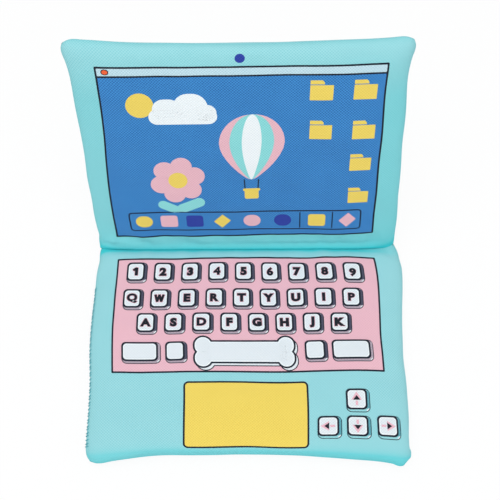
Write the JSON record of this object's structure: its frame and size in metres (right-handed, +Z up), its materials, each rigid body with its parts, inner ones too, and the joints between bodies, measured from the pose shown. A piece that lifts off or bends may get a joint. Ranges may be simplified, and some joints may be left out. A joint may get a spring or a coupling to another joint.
{
  "type": "toy laptop computer",
  "caption": "Soft stuffed toy laptop: a printed canvas lid cushion with a screen and a base cushion with a keyboard and touchpad, joined by a stitched cloth fold that opens and closes.",
  "frame": {"origin": "middle of the flat face that the base cushion rests on", "axes": "+Z up from the table, +X along the fold to the right as seen from the front, +Y from the front edge to the fold"},
  "size_m": [0.2494, 0.2725, 0.1791],
  "materials": {
    "printed_canvas": "matte woven, printed",
    "plain_canvas": "matte woven",
    "fibre_wadding": "soft loose fibre",
    "sewing_thread": "twisted polyester",
    "bulb_plastic": "blow-moulded, soft",
    "whistle_plastic": "moulded",
    "crinkle_film": "thin clear film"
  },
  "bodies": {
    "base": {"base_top_cover": "printed_canvas", "base_bottom_cover": "plain_canvas", "base_top_wadding": "fibre_wadding", "base_bottom_wadding": "fibre_wadding", "squeaker_bulb": "bulb_plastic", "squeaker_whistle": "whistle_plastic", "squeaker_reed": "whistle_plastic", "base_closing_stitches": "sewing_thread", "hinge_fold": "printed_canvas", "hinge_stitches": "sewing_thread"},
    "lid": {"lid_front_cover": "printed_canvas", "lid_back_cover": "plain_canvas", "lid_front_wadding": "fibre_wadding", "lid_back_wadding": "fibre_wadding", "lid_crinkle_film": "crinkle_film"}
  },
  "joints": [
    {"name": "lid_fold", "type": "hinge", "parent": "base", "child": "lid", "pos_m": [0, 0.091, 0.0222], "axis": [1, 0, 0], "range_deg": [-64, 116], "deforming": ["hinge_fold", "hinge_stitches"]}
  ]
}
